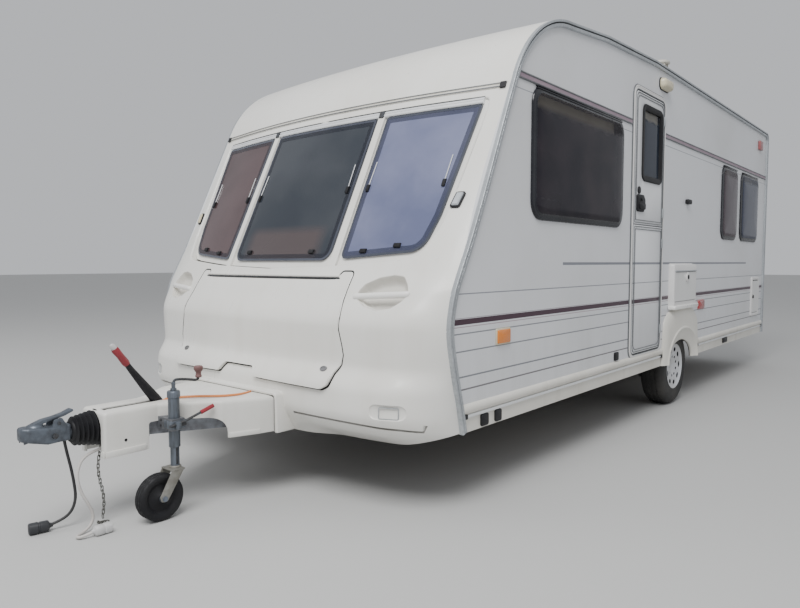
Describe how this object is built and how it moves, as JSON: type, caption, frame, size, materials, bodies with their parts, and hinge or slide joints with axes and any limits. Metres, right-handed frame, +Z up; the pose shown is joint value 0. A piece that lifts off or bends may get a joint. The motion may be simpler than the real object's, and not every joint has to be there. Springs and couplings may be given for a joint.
{
  "type": "travel caravan",
  "caption": "Single-axle touring caravan with a bowed moulded front, raked front windows, side door and a drawbar that stands on its jockey wheel.",
  "frame": {"origin": "on the ground, midway along and across the whole trailer", "axes": "+Z up, +X to the entrance door's side, -Y towards the tow coupling"},
  "size_m": [2.28, 6.956, 2.497],
  "materials": {
    "white_moulding": "satin white moulding",
    "white_sheet": "painted textured aluminium sheet on a timber and foam panel",
    "cream_moulding": "cream moulding",
    "rail_aluminium": "weathered aluminium",
    "tinted_acrylic": "tinted acrylic",
    "floor_board": "plywood",
    "galvanised_steel": "galvanised",
    "zinc_tube": "zinc plated",
    "black_steel": "black paint",
    "black_rubber": "matt",
    "tyre_rubber": "matt",
    "wheel_white": "painted steel",
    "lamp_plastic": "moulded lens",
    "vent_plastic": "weathered plastic",
    "pale_flex": "soft pvc",
    "black_plastic": "moulded"
  },
  "bodies": {
    "caravan": {"front_panel": "white_moulding", "front_panes": "tinted_acrylic", "roof_cap": "white_moulding", "roof_panel": "white_sheet", "rear_panel": "white_moulding", "side_wall_door": "white_sheet", "side_wall_far": "white_sheet", "body_panes": "tinted_acrylic", "awning_rails": "rail_aluminium", "side_skirts": "white_moulding", "wheel_spats": "cream_moulding", "side_frames": "rail_aluminium", "floor": "floor_board", "front_locker": "floor_board", "chassis": "galvanised_steel", "a_frame": "galvanised_steel", "coupling_head": "galvanised_steel", "gaiter": "black_rubber", "drawbar_cover": "white_moulding", "brake_lever": "black_steel", "axle": "galvanised_steel", "lamps": "lamp_plastic", "grab_handles": "white_moulding", "roof_vents": "vent_plastic", "rear_bumper": "white_moulding", "white_cord": "pale_flex", "black_cord": "black_rubber", "cord_plugs": "black_plastic"},
    "tyre_wheel_door": {"tyre_door": "tyre_rubber", "wheel_door": "wheel_white"},
    "tyre_wheel_far": {"tyre_far": "tyre_rubber", "wheel_far": "wheel_white"},
    "lower_door": {"door_lower": "white_sheet"},
    "upper_door": {"door_upper": "white_sheet", "door_pane": "tinted_acrylic"},
    "locker": {"locker_lid": "white_moulding"},
    "service_hatch": {"hatch_flap": "cream_moulding"},
    "rear_hatch": {"rear_hatch_flap": "cream_moulding"},
    "steady_a": {"steady_front_door": "galvanised_steel"},
    "steady_b": {"steady_front_far": "galvanised_steel"},
    "steady_c": {"steady_rear_door": "galvanised_steel"},
    "steady_d": {"steady_rear_far": "galvanised_steel"},
    "sleeve": {"jockey_sleeve": "zinc_tube"},
    "leg": {"jockey_leg": "zinc_tube"},
    "caster": {"jockey_fork": "zinc_tube"},
    "small_wheel": {"jockey_wheel": "black_rubber"}
  },
  "joints": [
    {"name": "wheel_door_spin", "type": "hinge", "parent": "caravan", "child": "tyre_wheel_door", "pos_m": [0.98, 0.772, 0.292], "axis": [1, 0, 0], "continuous": true},
    {"name": "wheel_far_spin", "type": "hinge", "parent": "caravan", "child": "tyre_wheel_far", "pos_m": [-0.98, 0.772, 0.292], "axis": [1, 0, 0], "continuous": true},
    {"name": "lower_door_hinge", "type": "hinge", "parent": "caravan", "child": "lower_door", "pos_m": [1.118, 0.318, 0.9], "axis": [0, 0, 1], "range_deg": [0, 150]},
    {"name": "upper_door_hinge", "type": "hinge", "parent": "caravan", "child": "upper_door", "pos_m": [1.118, 0.318, 1.8], "axis": [0, 0, 1], "range_deg": [0, 150]},
    {"name": "locker_hinge", "type": "hinge", "parent": "caravan", "child": "locker", "pos_m": [0, -2.354, 1.027], "axis": [-1, 0, 0], "range_deg": [0, 75]},
    {"name": "service_hatch_hinge", "type": "hinge", "parent": "caravan", "child": "service_hatch", "pos_m": [1.14, 0.757, 0.8013], "axis": [0, -1, 0], "range_deg": [-90, 0]},
    {"name": "rear_hatch_hinge", "type": "hinge", "parent": "caravan", "child": "rear_hatch", "pos_m": [1.114, 3.2117, 0.74], "axis": [0, 0, -1], "range_deg": [-110, 0]},
    {"name": "steady_front_door_swing", "type": "hinge", "parent": "caravan", "child": "steady_a", "pos_m": [0.64, -1.858, 0.42], "axis": [-1, 0, 0], "range_deg": [0, 50]},
    {"name": "steady_front_far_swing", "type": "hinge", "parent": "caravan", "child": "steady_b", "pos_m": [-0.64, -1.858, 0.42], "axis": [-1, 0, 0], "range_deg": [0, 50]},
    {"name": "steady_rear_door_swing", "type": "hinge", "parent": "caravan", "child": "steady_c", "pos_m": [0.64, 3.082, 0.42], "axis": [1, 0, 0], "range_deg": [0, 50]},
    {"name": "steady_rear_far_swing", "type": "hinge", "parent": "caravan", "child": "steady_d", "pos_m": [-0.64, 3.082, 0.42], "axis": [1, 0, 0], "range_deg": [0, 50]},
    {"name": "jockey_clamp_slide", "type": "slide", "parent": "caravan", "child": "sleeve", "axis": [0, 0, 1], "range_m": [0, 0.07]},
    {"name": "jockey_screw", "type": "slide", "parent": "sleeve", "child": "leg", "axis": [0, 0, 1], "range_m": [0, 0.075]},
    {"name": "jockey_swivel", "type": "hinge", "parent": "leg", "child": "caster", "pos_m": [0.18, -2.928, 0.2], "axis": [0, 0, 1], "continuous": true},
    {"name": "jockey_wheel_spin", "type": "hinge", "parent": "caster", "child": "small_wheel", "pos_m": [0.18, -3.003, 0.1], "axis": [1, 0, 0], "continuous": true}
  ]
}
